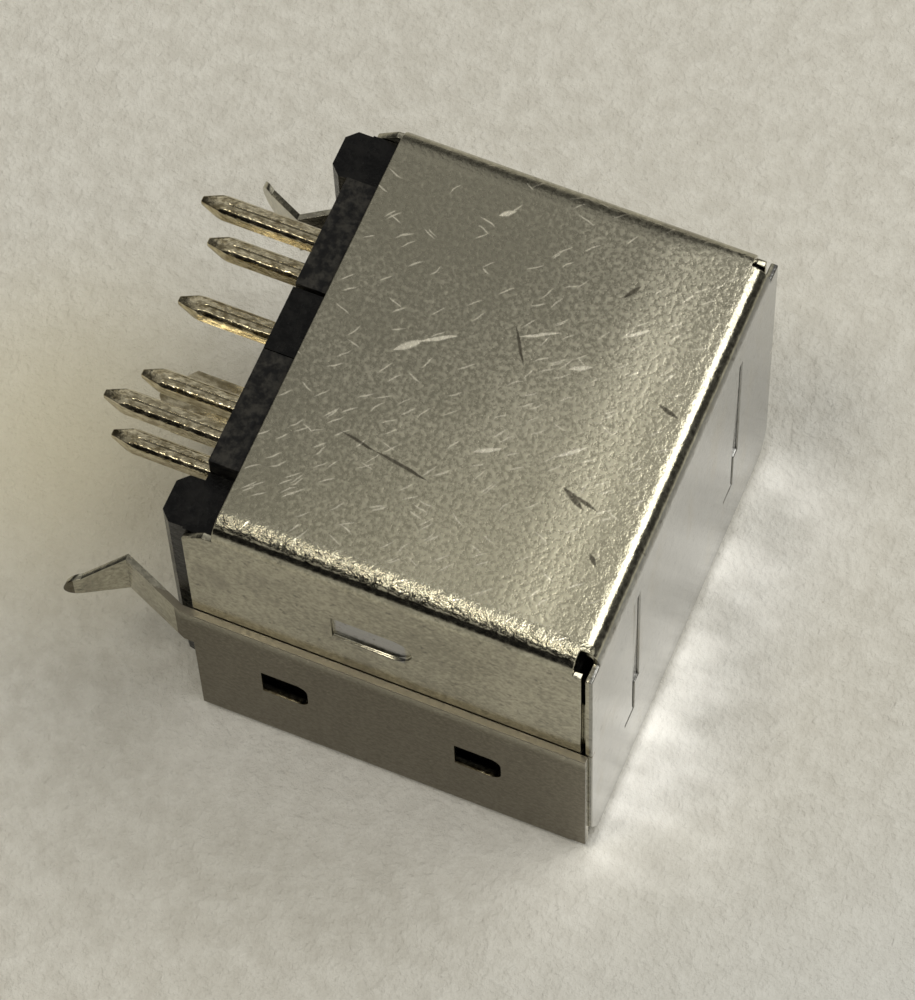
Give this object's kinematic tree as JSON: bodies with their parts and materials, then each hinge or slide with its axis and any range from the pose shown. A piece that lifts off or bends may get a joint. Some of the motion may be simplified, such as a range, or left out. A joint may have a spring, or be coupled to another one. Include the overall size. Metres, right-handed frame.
{
  "type": "mini-din socket",
  "caption": "Right-angle shielded round socket for a circuit board, with a keyed plug opening, contact tails and kinked ground legs.",
  "frame": {"origin": "on the board's surface, at the middle of the row of four contact tails", "axes": "+Z away from the board, so the tails point down; -Y out of the mating face towards the plug; +X across the socket"},
  "size_m": [0.0146, 0.0121, 0.0168],
  "materials": {
    "shield_metal": "tin plated, finely scratched",
    "ring_metal": "tin plated",
    "contact_metal": "bright tin plated",
    "housing_plastic": "fine moulded texture",
    "cover_plastic": "fine moulded texture"
  },
  "bodies": {
    "root": {"back_shield": "shield_metal", "front_shield": "shield_metal", "ground_ring": "ring_metal", "housing": "housing_plastic", "rear_cover": "cover_plastic", "lower_contact_right": "contact_metal", "lower_contact_left": "contact_metal", "middle_contact_right": "contact_metal", "middle_contact_left": "contact_metal", "upper_contact_right": "contact_metal", "upper_contact_left": "contact_metal"}
  },
  "joints": []
}
